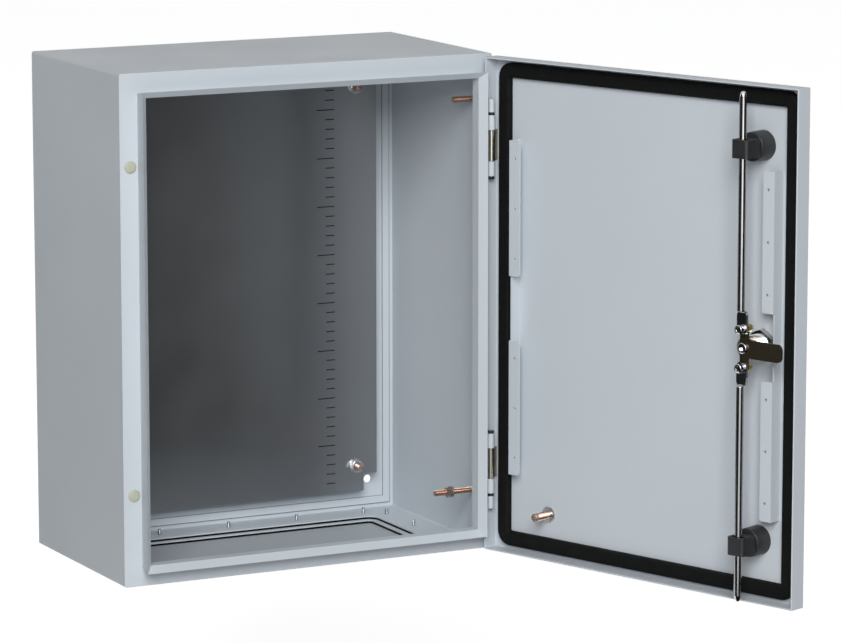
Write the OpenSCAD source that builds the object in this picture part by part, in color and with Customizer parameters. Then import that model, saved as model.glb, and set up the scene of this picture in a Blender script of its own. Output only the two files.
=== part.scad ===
// Steel wall enclosure with an open door, a three-point rod lock and a mounting plate.
// Frame: +X to the right, -Y to the front, +Z up. The origin is the centre of the
// four wall holes, on the outer back face.

/* [Body] */
// Width of the body
body_w = 400; // [330:10:600]
// Height of the body
body_h = 500; // [440:10:800]
// Depth of the body from its back to its front flange
body_d = 220; // [180:5:300]
// Thickness of the body sheet
wall = 1.5; // [1.2:0.1:2]
// Outer radius of the four long edges of the body
edge_r = 2.5; // [2:0.5:4]
// Width of the return flange that the back panel is welded to
back_return = 11.5; // [10:0.5:16]
// Distance from the back panel's edge to the body's side
back_lap = 5.8; // [5:0.1:8]

/* [Rim] */
// Width of the front flange at the sides, up to the rim
flange_side = 18.7; // [17:0.1:22]
// Width of the front flange at the top and bottom, up to the rim
flange_end = 19.6; // [17:0.1:22]
// Height of the rim in front of the flange
rim_h = 22; // [20:0.5:22]
// How far the rim leans outwards over its height
rim_lean = 3.3; // [2:0.1:4]
// How far the rim's nose folds inwards
nose_in = 6.4; // [5.5:0.1:7]
// How far the nose drops back as it folds inwards
nose_back = 8.3; // [6:0.1:9]
// Length of the hem that runs straight back from the nose
hem = 12.7; // [8:0.1:12.7]

/* [Wall holes] */
// Radius of each hole for a wall screw
wall_hole_r = 4.25; // [3:0.25:5]
// Distance of the wall holes from the body's sides
wall_hole_in_x = 31; // [26:1:40]
// Distance of the wall holes from the body's top and bottom
wall_hole_in_z = 32.5; // [26:0.5:40]

/* [Gland plate] */
// Half of the width of the cable opening in the floor
gland_half_w = 158.5; // [120:0.5:160]
// Depth of the cable opening, front to back
gland_d = 122; // [90:1:130]
// Distance from the back of the body to the cable opening
gland_back = 38; // [32:1:45]
// Corner radius of the cable opening
gland_r = 11; // [6:1:16]
// Width of the frame's border under the floor
gland_border = 24; // [20:1:25]
// Width of the frame's ledge inside the cable opening
gland_ledge = 6; // [5:0.5:10]
// Thickness of each flat rubber seal
seal_t = 1.6; // [1:0.1:2]
// Radius of the thread of a gland screw
gland_screw_r = 2; // [1.5:0.25:2.5]
// Distance of the gland screws from the edge of the cable opening
gland_screw_out = 15.5; // [14:0.5:17]
// Length of a gland screw above the floor
gland_screw_up = 5; // [3:0.5:7]
// Gap between neighbouring gland screws along the back
gland_pitch_x = 77; // [60:1:78]
// Gap between neighbouring gland screws along a side
gland_pitch_y = 62; // [40:1:64]

/* [Mounting plate] */
// Width of the mounting plate
plate_w = 342; // [260:1:344]
// Height of the mounting plate
plate_h = 450; // [360:1:452]
// Thickness of the mounting plate
plate_t = 2; // [1.5:0.5:3]
// Distance from the back of the body to the plate's front face
plate_front = 20; // [16:1:30]
// Width of each notch at the plate's corners
notch_w = 15.3; // [10:0.1:18]
// Height of each notch at the plate's corners
notch_h = 17.5; // [10:0.5:22]
// Distance of the plate's studs from its side edges
stud_in_x = 25; // [20:1:40]
// Distance of the plate's studs from its top and bottom edges
stud_in_z = 27; // [20:1:40]
// Radius of a plate stud
stud_r = 4; // [3:0.5:5]
// Radius of the shoulder that a plate rests on
shoulder_r = 7; // [6:0.5:8]
// Length of a plate stud in front of its nut
stud_tip = 5; // [3:0.5:10]

/* [Fasteners] */
// Radius of a plate washer
washer_r = 8; // [7:0.5:10]
// Thickness of every washer
washer_t = 1.6; // [1:0.1:2]
// Width across flats of a plate nut
nut_af = 13; // [11:0.5:15]
// Height of a plate nut
nut_h = 6.5; // [5:0.5:7]

/* [Wall studs] */
// Radius of the two studs on the right-hand wall
side_stud_r = 3; // [2.5:0.25:4]
// Distance of these studs behind the front flange
side_stud_back = 30; // [24:1:45]
// Distance of the upper stud from the top of the body
side_stud_in_top = 48.5; // [45:0.5:100]
// Length of the upper stud
side_stud_up_len = 27; // [20:1:40]
// Distance of the lower stud from the bottom of the body
side_stud_in_end = 54; // [50:0.5:100]
// Length of the lower stud
side_stud_down_len = 47; // [40:1:60]
// Gap between the lower stud's washer and the wall
side_nut_off = 27; // [20:1:30]
// Width across flats of the nut on the lower stud
side_nut_af = 10; // [8:0.5:11]

/* [Hinges] */
// Distance of each hinge from the body's top or bottom
hinge_in_z = 90; // [80:1:120]
// Distance of the hinge axis from the body's side
hinge_in_x = 8.9; // [8.9:0.1:9.4]
// Distance of the hinge axis in front of the flange
hinge_out = 16.3; // [16:0.1:17]
// Radius of the knuckles
knuckle_r = 3.6; // [3.4:0.1:3.7]
// Radius of the hinge pin
pin_r = 2; // [1.8:0.1:2.2]
// Height of each of a bracket's two knuckles
bracket_knuckle = 14.8; // [12:0.1:16]
// Height of the door's knuckle between them
leaf_knuckle = 30.6; // [26:0.1:34]
// Height of the cap on the pin's end
cap_h = 13.1; // [10:0.1:15]
// Radius of the cap on the pin's end
cap_r = 2.9; // [2.6:0.1:3.2]
// Height of each retaining ring
ring_h = 2.9; // [2:0.1:3.2]
// Distance of the plug and hinge screws from the body's side
plug_in_x = 10.8; // [10:0.1:12]
// Radius of a plug's head
plug_r = 6; // [5.6:0.1:6.4]
// Radius of the hole that a plug or a hinge screw goes through
plug_hole_r = 4.5; // [4:0.25:5]

/* [Door] */
// Distance from the flange to the door's outer face when it is shut
door_out = 30; // [30:0.5:32]
// Gap between the door's edge and the body's side
door_gap_x = 3.5; // [3:0.1:4]
// Gap between the door's edge and the body's top and bottom
door_gap_z = 2; // [1.5:0.1:4]
// Thickness of the door sheet
door_sheet = 1.5; // [1.2:0.1:2]
// Depth of the door's edges
door_edge = 17.6; // [16:0.1:18]
// Angle that the door stands open
door_open = 110; // [0:5:125]
// Depth of each cut in the door's edge at a hinge bracket
hinge_cut = 12; // [11:0.5:13]

/* [Door seal] */
// Distance from the door's edge to its foam seal
foam_in = 8; // [7.5:0.1:9]
// Width of the foam seal
foam_w = 14; // [12:0.5:15]
// Thickness of the foam seal
foam_t = 6.2; // [5:0.1:6.2]
// Outer corner radius of the foam seal
foam_r = 19; // [10:1:22]

/* [Door strips] */
// Distance of the lock side's strip from the door's free edge
lock_strip_in = 29; // [26:0.5:32]
// Distance of the hinge side's strip from the door's hinge edge
hinge_strip_in = 30.5; // [26:0.5:32]
// Overall length of a strip
strip_len = 335; // [260:5:340]
// Length of each tab at the ends of a strip
tab_len = 135; // [100:5:140]
// Width of a tab
tab_w = 13.6; // [12:0.1:15]
// Height of a strip above the door's inner face
strip_h = 13.5; // [12:0.5:15]
// How much lower the strip is between its tabs
strip_dip = 2.3; // [1:0.1:4]
// Spacing of the holes in a tab
tab_pitch = 50; // [40:5:55]
// Radius of the holes in a tab
tab_hole_r = 1.4; // [1:0.1:2]
// Radius of a tab's free corners
tab_r = 3; // [1:0.5:4]

/* [Lock] */
// Distance of the lock's axis from the door's free edge
lock_in = 50.8; // [48:0.1:54]
// Radius of the lock's barrel
barrel_r = 11; // [10:0.5:12]
// Radius of the lock's turning core
core_r = 6; // [5:0.5:7]
// Radius of the bezel on the outside of the door
bezel_r = 15; // [14:0.5:17]
// Thickness of the bezel
bezel_t = 3; // [2:0.5:4]
// Width across flats of the lock's nut
lock_nut_af = 27; // [25:0.5:29]
// Height of the lock's nut
lock_nut_h = 7; // [5:0.5:9]
// Distance from the door's outer face to the back of the cam's tongue
tongue_off = 31.8; // [31.8:0.1:32.2]
// How far the cam's tongue is set off from its hub
tongue_step = 3; // [2.5:0.1:3.2]
// Thickness of the cam
cam_t = 2.5; // [2:0.1:2.5]
// Width of the square that the cam sits on
cam_square = 8; // [7:0.25:8.25]
// Radius of the thread of the cam's screw
cam_screw_r = 2.5; // [2:0.25:2.5]
// Length of the thread of the cam's screw
cam_screw_len = 8; // [6:0.5:10]
// Reach of the cam's tongue from the lock's axis
tongue_reach = 47.5; // [40:0.5:47.5]
// Width of the cam's tongue
tongue_w = 17.5; // [14:0.5:18]
// Distance from the lock's axis to each rod pin
pin_throw = 18.5; // [16:0.5:19]
// Radius of a rod pin
rod_pin_r = 3; // [2.5:0.25:3.5]
// Radius of a rod pin's head
rod_pin_head = 5; // [4:0.25:5.5]
// Height of a rod pin's head
rod_pin_head_h = 5; // [4:0.2:6]
// Length of the cap nut behind the cam on each rod pin
cap_nut_h = 8; // [6:0.5:9]

/* [Rods] */
// Radius of a lock rod
rod_r = 4; // [3:0.25:4]
// Distance from the door's outer face to the rods' axis
rod_off = 36; // [36:0.1:36.5]
// Gap between a rod's tip and the door's top or bottom
rod_end_gap = 4.5; // [3:0.5:8]
// Length of the pointed tip of a rod
rod_tip = 6; // [4:0.5:8]
// Distance from the rod pin to the end of a rod's flat
rod_flat = 17.5; // [16:0.5:20]
// Width of a rod's flat
rod_flat_w = 11.5; // [10:0.5:12]
// Thickness of a rod's flat
rod_flat_t = 2.4; // [2:0.1:3]
// Distance of each rod guide from the door's top or bottom edge
guide_in_z = 58.5; // [53:0.5:90]
// Radius of a guide's foot
guide_r = 14.5; // [12:0.5:16]
// Height of the block that a rod runs through
guide_block_h = 19; // [15:0.5:22]
// Wall beside the rod's slot in a guide
guide_wall = 1.6; // [1.5:0.1:3]
// How far a rod swings to each side in its guide
rod_swing = 3.9; // [3.9:0.1:5]
// Distance from a guide's foot to the front of its block
guide_reach = 40.5; // [40.5:0.1:42]
// Radius of the weld stud that a guide is pressed onto
guide_stud_r = 2.5; // [2:0.25:3]
// Length of the weld stud that a guide is pressed onto
guide_stud_len = 10; // [8:0.5:12]
// Offset of a guide's foot from the rods' axis
guide_shift = 2.5; // [0:0.5:3]

/* [Door stud] */
// Distance of the door's earth stud from its free edge
door_stud_in = 320; // [200:1:322]
// Height of the door's earth stud above the door's bottom edge
door_stud_up = 43.5; // [40:0.5:80]
// Length of the door's earth stud
door_stud_len = 23; // [18:0.5:28]

/* [Hidden] */
$fn = 48;

e = 0.01;          // overshoot of a cut past a face
clear = 0.3;       // gap between neighbouring pieces that don't touch
run = 0.05;        // radial clearance of a running fit
hole_gap = 0.3;    // room round a stud or screw in its hole

half_w = body_w / 2;
half_h = body_h / 2;
door_w = body_w - 2 * door_gap_x;
door_h = body_h - 2 * door_gap_z;
free_x = -door_w / 2;
lock_x = free_x + lock_in;
face_y = -(body_d + door_out);
inner_y = face_y + door_sheet;
hinge_x = half_w - hinge_in_x;
hinge_y = -(body_d + hinge_out);
hinge_z = half_h - hinge_in_z;
plug_x = half_w - plug_in_x;
side_y = -(body_d - side_stud_back);
guide_z = door_h / 2 - guide_in_z;
floor_z = -half_h;
gland_y = -(gland_back + gland_d / 2);
tongue_from = tongue_w / 2 + 5;
plate_back = plate_front - plate_t;
stud_x = plate_w / 2 - stud_in_x;
stud_z = plate_h / 2 - stud_in_z;
bracket_end = leaf_knuckle / 2 + clear + bracket_knuckle;
cap_bore = 0.75 * cap_h;
cam_off = tongue_off - tongue_step;
cam_front = cam_off + cam_t;
flat_off = cam_front + clear;
head_off = flat_off + rod_flat_t + clear;
cover_z = floor_z - 2 * seal_t - 2 * wall;

COAT = [0.80, 0.82, 0.82];
ZINC = [0.72, 0.74, 0.76];
COPPER = [0.78, 0.48, 0.34];
BLACK = [0.10, 0.10, 0.11];

// A rectangle with true round corners.
module round_rect(w, h, r) {
    square([w - 2 * r, h], center = true);
    square([w, h - 2 * r], center = true);
    for (x = [-1, 1], y = [-1, 1])
        translate([x * (w / 2 - r), y * (h / 2 - r)]) circle(r);
}

// A flat ring between two round-cornered rectangles.
module frame_2d(w, h, r, inner_w, inner_h, inner_r) {
    difference() {
        round_rect(w, h, r);
        round_rect(inner_w, inner_h, inner_r);
    }
}

// Stands a flat outline up in the XZ plane, from y = back forwards by depth.
module upright(back, depth) {
    translate([0, back, 0]) rotate([90, 0, 0]) linear_extrude(depth) children();
}

// A cylinder along Y from y = back forwards by len.
module rod_y(x, z, back, len, r) {
    translate([x, back, z]) rotate([90, 0, 0]) cylinder(r = r, h = len);
}

// A hexagonal nut along its own Z.
module hex_nut(af, h, bore) {
    difference() {
        cylinder(r = af / 2 / cos(30), h = h, $fn = 6);
        translate([0, 0, -e]) cylinder(r = bore, h = h + 2 * e);
    }
}

module at_corners(x, z) {
    for (sx = [-1, 1], sz = [-1, 1]) translate([sx * x, 0, sz * z]) children();
}

// Swings a piece of the shut door to where the door stands.
module on_door() {
    translate([hinge_x, hinge_y, 0]) rotate([0, 0, door_open])
        translate([-hinge_x, -hinge_y, 0]) children();
}

// Places a piece along the door's depth: its own Z runs inwards from the outer face.
module door_depth(x, z, off) {
    translate([x, face_y + off, z]) rotate([-90, 0, 0]) children();
}

// The upper hinge as drawn, or its mirror image at the bottom.
module at_hinge(side) {
    translate([hinge_x, hinge_y, side * hinge_z])
        mirror([0, 0, side < 0 ? 1 : 0]) children();
}

// Where two lines meet, each given by a point and a direction.
function meet(p, u, q, v) =
    let (s = ((q.x - p.x) * v.y - (q.y - p.y) * v.x) / (u.x * v.y - u.y * v.x)) p + s * u;
// A direction's unit normal, to its left.
function left(u) = [-u.y, u.x] / norm(u);

// ---- body ----

// The rim's folded sheet: x is outwards from its foot, y is forwards from the flange.
lean = [rim_lean, rim_h];
fold = [-nose_in, -nose_back];
heel = lean + fold;
toe = heel - [0, hem];
lean_in = wall * left(lean);
fold_in = heel + wall * left(fold);
RIM = [
    [0, 0], lean, heel, toe, toe + [wall, 0],
    meet(fold_in, fold, heel + [wall, 0], [0, 1]),
    meet(lean_in, lean, fold_in, fold),
    meet(lean_in, lean, [0, -wall], [1, 0]),
    [0, -wall]
];

// One side of the rim, mitred at both ends: a is its own foot, b is its neighbours'.
module rim_side(a, b) {
    in = 20;
    out = rim_h;
    intersection() {
        translate([0, 0, -b - out]) linear_extrude(2 * (b + out))
            polygon([for (p = RIM) [a + p.x, -body_d - p.y]]);
        upright(0, body_d + rim_h + wall)
            polygon([[a + out, b + out], [a - in, b - in], [a - in, in - b], [a + out, -b - out]]);
    }
}

module rim() {
    a = half_w - flange_side;
    b = half_h - flange_end;
    for (turn = [0, 180]) rotate([0, turn, 0]) rim_side(a, b);
    for (turn = [-90, 90]) rotate([0, turn, 0]) rim_side(b, a);
}

// The front flange, the four walls and the return flange that the back panel sits on.
module walls() {
    lap = wall / 3;
    upright(-body_d + wall, wall)
        frame_2d(body_w, body_h, edge_r,
            body_w - 2 * (flange_side + lap), body_h - 2 * (flange_end + lap), e);
    upright(0, body_d)
        frame_2d(body_w, body_h, edge_r, body_w - 2 * wall, body_h - 2 * wall, edge_r - wall);
    upright(0, wall)
        frame_2d(body_w, body_h, edge_r, body_w - 2 * back_return, body_h - 2 * back_return, e);
}

module gland_window(grow, r) {
    round_rect(2 * (gland_half_w + grow), gland_d + 2 * grow, r);
}

// A point on the ring of screws round the cable opening, for each screw.
GLAND_SCREWS = concat(
    [for (i = [-2:2], s = [-1, 1]) [i * gland_pitch_x, s * (gland_d / 2 + gland_screw_out)]],
    [for (i = [-1:1], s = [-1, 1]) [s * (gland_half_w + gland_screw_out), i * gland_pitch_y]]
);

module at_gland_screws() {
    for (p = GLAND_SCREWS) translate([p.x, gland_y + p.y, 0]) children();
}

module body_shell() {
    color(COAT) difference() {
        union() {
            walls();
            rim();
        }
        at_corners(plug_x, hinge_z) rod_y(0, 0, -body_d + wall + e, wall + 2 * e, plug_hole_r);
        translate([0, gland_y, floor_z - e]) linear_extrude(wall + 2 * e) gland_window(0, gland_r);
        at_gland_screws() translate([0, 0, floor_z - e]) cylinder(r = gland_screw_r, h = wall + 2 * e);
    }
}

// The back panel: its middle lies in the plane of the return flange, its joggled edge on it.
module back_panel() {
    in_w = body_w - 2 * (back_return + hole_gap);
    in_h = body_h - 2 * (back_return + hole_gap);
    step_w = in_w - 2 * wall;
    step_h = in_h - 2 * wall;
    color(COAT) difference() {
        union() {
            upright(0, wall) square([in_w, in_h], center = true);
            upright(0, 2 * wall) frame_2d(in_w, in_h, e, step_w, step_h, e);
            upright(-wall, wall)
                frame_2d(body_w - 2 * back_lap, body_h - 2 * back_lap, e, step_w, step_h, e);
        }
        at_corners(half_w - wall_hole_in_x, half_h - wall_hole_in_z)
            rod_y(0, 0, e, 2 * wall + 2 * e, wall_hole_r);
    }
}

// ---- cable opening in the floor ----

// A flat ring or plate of the gland stack, from z upwards, with the screws' holes.
module gland_layer(z, thick, bore, ledge) {
    translate([0, gland_y, z]) difference() {
        linear_extrude(thick) difference() {
            gland_window(gland_border, gland_r);
            if (ledge < gland_half_w) gland_window(-ledge, max(gland_r - ledge, 1));
        }
        for (p = GLAND_SCREWS) translate([p.x, p.y, -e]) cylinder(r = bore, h = thick + 2 * e);
    }
}

module gland_seal() {
    color(BLACK) gland_layer(floor_z - seal_t, seal_t, gland_screw_r + hole_gap, 0);
}

module gland_frame() {
    color(COAT) gland_layer(floor_z - seal_t - wall, wall, gland_screw_r + hole_gap, gland_ledge);
}

module cover_seal() {
    color(BLACK) gland_layer(floor_z - 2 * seal_t - wall, seal_t, gland_screw_r + hole_gap, gland_ledge);
}

module gland_cover() {
    color(COAT) gland_layer(cover_z, wall, gland_screw_r + hole_gap, gland_half_w);
}

// Pan-head screws from below, threaded into the floor.
module gland_screws() {
    head_h = 1.2 * gland_screw_r;
    color(ZINC) at_gland_screws() {
        translate([0, 0, cover_z - head_h]) cylinder(r = 2 * gland_screw_r, h = head_h);
        translate([0, 0, cover_z - e])
            cylinder(r = gland_screw_r, h = floor_z + wall + gland_screw_up - cover_z + e);
    }
}

// ---- mounting plate ----

module mounting_plate() {
    color(ZINC) difference() {
        upright(-plate_back, plate_t) difference() {
            square([plate_w, plate_h], center = true);
            for (x = [-1, 1], z = [-1, 1])
                translate([x * plate_w / 2, z * plate_h / 2])
                    square([2 * notch_w, 2 * notch_h], center = true);
        }
        at_corners(stud_x, stud_z) rod_y(0, 0, e - plate_back, plate_t + 2 * e, stud_r + hole_gap);
    }
}

// Shouldered studs, welded to the back panel.
module plate_studs() {
    color(COPPER) at_corners(stud_x, stud_z) {
        rod_y(0, 0, -wall, plate_back - wall, shoulder_r);
        rod_y(0, 0, -wall, plate_front - wall + washer_t + nut_h + stud_tip, stud_r);
    }
}

module plate_washers() {
    color(ZINC) at_corners(stud_x, stud_z) difference() {
        rod_y(0, 0, -plate_front, washer_t, washer_r);
        rod_y(0, 0, e - plate_front, washer_t + 2 * e, stud_r);
    }
}

module plate_nuts() {
    color(ZINC) at_corners(stud_x, stud_z)
        translate([0, -plate_front - washer_t, 0]) rotate([90, 0, 0]) hex_nut(nut_af, nut_h, stud_r);
}

// ---- studs on the right-hand wall ----

// Places a piece on the right-hand wall: its own Z runs from the wall into the body.
module on_side_wall(z, off) {
    translate([half_w - wall - off, side_y, z]) rotate([0, -90, 0]) children();
}

// A weld stud with its welding flange.
module side_stud(len) {
    flange_h = 0.9;
    cylinder(r = side_stud_r, h = len);
    cylinder(r = 1.25 * side_stud_r, h = flange_h);
}

module wall_stud_upper() {
    color(COPPER) on_side_wall(half_h - side_stud_in_top, 0) side_stud(side_stud_up_len);
}

module wall_stud_lower() {
    color(COPPER) on_side_wall(side_stud_in_end - half_h, 0) side_stud(side_stud_down_len);
}

module wall_stud_washer() {
    color(ZINC) on_side_wall(side_stud_in_end - half_h, side_nut_off) difference() {
        cylinder(r = 2 * side_stud_r, h = washer_t);
        translate([0, 0, -e]) cylinder(r = side_stud_r, h = washer_t + 2 * e);
    }
}

module wall_stud_nut() {
    color(COPPER) on_side_wall(side_stud_in_end - half_h, side_nut_off + washer_t)
        hex_nut(side_nut_af, side_nut_af / 2, side_stud_r);
}

// ---- flange plugs and hinges ----

// Plastic plugs that close the hinge holes on the lock side.
module flange_plugs() {
    head_h = 1.8;
    edge_h = 0.8;
    shank = 5;
    color([0.76, 0.75, 0.68]) for (side = [-1, 1])
        translate([-plug_x, -body_d, side * hinge_z]) rotate([90, 0, 0]) {
            cylinder(r = plug_r, h = edge_h);
            translate([0, 0, edge_h - e]) cylinder(r1 = plug_r, r2 = 0.7 * plug_r, h = head_h - edge_h);
            translate([0, 0, -shank]) cylinder(r = plug_hole_r, h = shank + e);
        }
}

// A bracket on the body's flange: a base, and two arms that end in knuckles.
module hinge_bracket(side) {
    base_t = wall;
    base_in = half_w - flange_side + 2.7;
    base_w = half_w - door_gap_x - door_sheet - clear - base_in;
    arm_t = 3;
    arm_h = bracket_knuckle;
    color(COAT) difference() {
        at_hinge(side) union() {
            translate([base_in - hinge_x, hinge_out - base_t, -bracket_end])
                cube([base_w, base_t, 2 * bracket_end]);
            for (z = [-bracket_end, bracket_end - arm_h]) translate([0, 0, z]) {
                cylinder(r = knuckle_r, h = arm_h);
                translate([-arm_t / 2, 0, 0]) cube([arm_t, hinge_out, arm_h]);
            }
        }
        at_hinge(side) translate([0, 0, -bracket_end - e]) cylinder(r = pin_r, h = 2 * bracket_end + 2 * e);
    }
}

module hinge_bracket_upper() { hinge_bracket(1); }
module hinge_bracket_lower() { hinge_bracket(-1); }

// Screws from inside the body, through its flange, into the brackets.
module hinge_screws() {
    head_h = 3.2;
    head_r = 1.55 * plug_hole_r;
    color(ZINC) for (side = [-1, 1]) {
        rod_y(plug_x, side * hinge_z, -body_d + wall + head_h, head_h, head_r);
        rod_y(plug_x, side * hinge_z, -body_d + wall + e, wall + e, plug_hole_r);
    }
}

module hinge_pin(side) {
    color(ZINC) at_hinge(side) translate([0, 0, -bracket_end - ring_h])
        cylinder(r = pin_r, h = 2 * (bracket_end + ring_h) + cap_bore);
}

module hinge_pin_upper() { hinge_pin(1); }
module hinge_pin_lower() { hinge_pin(-1); }

// Retaining rings at both ends of both pins.
module hinge_rings() {
    ring_r = knuckle_r - 0.3;
    color(BLACK) for (side = [-1, 1]) at_hinge(side)
        for (z = [-bracket_end - ring_h, bracket_end]) translate([0, 0, z]) difference() {
            cylinder(r = ring_r, h = ring_h);
            translate([0, 0, -e]) cylinder(r = pin_r, h = ring_h + 2 * e);
        }
}

module hinge_cap(side) {
    edge = 0.8;
    color(COAT) at_hinge(side) translate([0, 0, bracket_end + ring_h]) difference() {
        union() {
            cylinder(r = cap_r, h = cap_h - edge);
            translate([0, 0, cap_h - edge - e]) cylinder(r1 = cap_r, r2 = cap_r - edge, h = edge + e);
        }
        translate([0, 0, -e]) cylinder(r = pin_r, h = cap_bore + e);
    }
}

module hinge_cap_upper() { hinge_cap(1); }
module hinge_cap_lower() { hinge_cap(-1); }

// The door's half of a hinge: a knuckle on the pin and a leaf against the door's edge.
module door_leaf(side) {
    leaf_t = 1.8;
    leaf_x = half_w - door_gap_x - door_sheet - leaf_t - hinge_x;
    leaf_h = leaf_knuckle;
    color([0.70, 0.66, 0.58]) on_door() difference() {
        at_hinge(side) translate([0, 0, -leaf_h / 2]) {
            cylinder(r = knuckle_r, h = leaf_h);
            translate([leaf_x, inner_y - hinge_y, 0]) cube([leaf_t, hinge_y - inner_y, leaf_h]);
        }
        at_hinge(side) translate([0, 0, -leaf_h / 2 - e]) cylinder(r = pin_r + run, h = leaf_h + 2 * e);
    }
}

module door_leaf_upper() { door_leaf(1); }
module door_leaf_lower() { door_leaf(-1); }

// ---- door ----

// A pan with four turned edges, cut away at the hinge brackets' arms.
module door_panel() {
    cut_from = leaf_knuckle / 2 - 2 * clear;
    cut_to = bracket_end + 5 * clear;
    color(COAT) on_door() difference() {
        translate([-door_w / 2, face_y, -door_h / 2]) cube([door_w, door_edge, door_h]);
        translate([-door_w / 2 + door_sheet, inner_y, -door_h / 2 + door_sheet])
            cube([door_w - 2 * door_sheet, door_edge, door_h - 2 * door_sheet]);
        for (side = [-1, 1], from = [-cut_to, cut_from])
            translate([door_w / 2 - door_sheet - e, face_y + door_edge - hinge_cut, side * hinge_z + from])
                cube([door_sheet + 2 * e, hinge_cut + e, cut_to - cut_from]);
        door_depth(lock_x, 0, -e) cylinder(r = barrel_r + hole_gap, h = door_sheet + 2 * e);
    }
}

// A closed loop of foam that the rim presses into.
module door_foam() {
    w = door_w - 2 * foam_in;
    h = door_h - 2 * foam_in;
    color(BLACK) on_door() upright(inner_y + foam_t, foam_t)
        frame_2d(w, h, foam_r, w - 2 * foam_w, h - 2 * foam_w, 1);
}

// A tab's outline: x is out from the web, with its two free corners rounded.
module tab_2d() {
    square([tab_w - tab_r, tab_len]);
    translate([0, tab_r]) square([tab_w, tab_len - 2 * tab_r]);
    for (z = [tab_r, tab_len - tab_r]) translate([tab_w - tab_r, z]) circle(tab_r);
}

// A door strip, its web in the plane x = 0: two tabs on a web that dips between them.
module door_strip() {
    gap = strip_len - 2 * tab_len;
    difference() {
        union() {
            translate([0, inner_y, -strip_len / 2]) cube([door_sheet, strip_h, strip_len]);
            for (z = [-strip_len / 2, strip_len / 2 - tab_len])
                translate([0, inner_y + strip_h, z]) rotate([90, 0, 0]) linear_extrude(door_sheet) tab_2d();
        }
        translate([-e, inner_y + strip_h - strip_dip, -gap / 2])
            cube([door_sheet + 2 * e, strip_dip + e, gap]);
        for (s = [-1, 1], i = [-1:1])
            rod_y((door_sheet + tab_w) / 2, s * (strip_len - tab_len) / 2 + i * tab_pitch,
                inner_y + strip_h + e, door_sheet + 2 * e, tab_hole_r);
    }
}

module lock_strip() {
    color(COAT) on_door() translate([free_x + lock_strip_in, 0, 0]) door_strip();
}

module hinge_strip() {
    color(COAT) on_door() translate([door_w / 2 - hinge_strip_in, 0, 0]) mirror([1, 0, 0]) door_strip();
}

module at_door_stud() {
    on_door() door_depth(free_x + door_stud_in, -door_h / 2 + door_stud_up, door_sheet) children();
}

module door_stud() {
    groove = 0.5;
    lead = 3.5;
    color(COPPER) at_door_stud() {
        cylinder(r = stud_r, h = door_stud_len - lead);
        cylinder(r = stud_r - groove, h = door_stud_len - e);
        translate([0, 0, door_stud_len - lead + 1]) cylinder(r = stud_r, h = lead - 1);
    }
}

module door_stud_washer() {
    color(ZINC) at_door_stud() difference() {
        cylinder(r = washer_r, h = washer_t);
        translate([0, 0, -e]) cylinder(r = stud_r, h = washer_t + 2 * e);
    }
}

// ---- rod guides ----

// A rod's slot: wide enough for the rod to swing, with round ends.
module rod_slot_2d() {
    r = rod_r + clear;
    square([2 * rod_swing, 2 * r], center = true);
    for (x = [-1, 1]) translate([x * rod_swing, 0]) circle(r);
}

// A moulded guide at height z: a round foot, and a block that the rod runs through.
module rod_guide(z) {
    block_w = 2 * (rod_r + clear + rod_swing + guide_wall);
    block_from = rod_off - rod_r - clear - 5;
    drum_h = block_from - door_sheet;
    block_d = door_sheet + guide_reach - block_from;
    corner = 1.5;
    color(BLACK) on_door() difference() {
        union() {
            door_depth(lock_x + guide_shift, z, door_sheet)
                cylinder(r1 = guide_r, r2 = guide_r - 1, h = drum_h);
            translate([lock_x, face_y + block_from + block_d / 2 - 1, z - guide_block_h / 2])
                linear_extrude(guide_block_h) round_rect(block_w, block_d + 2, corner);
        }
        translate([lock_x, face_y + rod_off, z - guide_block_h / 2 - e])
            linear_extrude(guide_block_h + 2 * e) rod_slot_2d();
        door_depth(lock_x + guide_shift, z, door_sheet - e) 
            cylinder(r = guide_stud_r, h = guide_stud_len + guide_stud_r);
    }
}

module guide_upper() { rod_guide(guide_z); }
module guide_lower() { rod_guide(-guide_z); }

// Weld studs that the guides are pressed onto.
module guide_studs() {
    color(COPPER) on_door() for (z = [-guide_z, guide_z])
        door_depth(lock_x + guide_shift, z, door_sheet) cylinder(r = guide_stud_r, h = guide_stud_len);
}

// ---- lock ----

module at_lock(off) {
    on_door() door_depth(lock_x, 0, off) children();
}

// The barrel through the door, with its bezel outside.
module lock_barrel() {
    barrel_len = cam_off - clear + seal_t;
    color(ZINC) at_lock(-seal_t) difference() {
        union() {
            cylinder(r = barrel_r, h = barrel_len);
            translate([0, 0, -bezel_t]) cylinder(r = bezel_r, h = bezel_t);
            translate([0, 0, -bezel_t - 0.8]) cylinder(r1 = bezel_r - 1.6, r2 = bezel_r, h = 0.8 + e);
        }
        translate([0, 0, -bezel_t - 1]) cylinder(r = core_r + run, h = barrel_len + bezel_t + 2);
    }
}

module bezel_seal() {
    color(BLACK) at_lock(-seal_t) difference() {
        cylinder(r = bezel_r - 1, h = seal_t);
        translate([0, 0, -e]) cylinder(r = barrel_r, h = seal_t + 2 * e);
    }
}

module lock_nut() {
    color(ZINC) at_lock(door_sheet) hex_nut(lock_nut_af, lock_nut_h, barrel_r);
}

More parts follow.
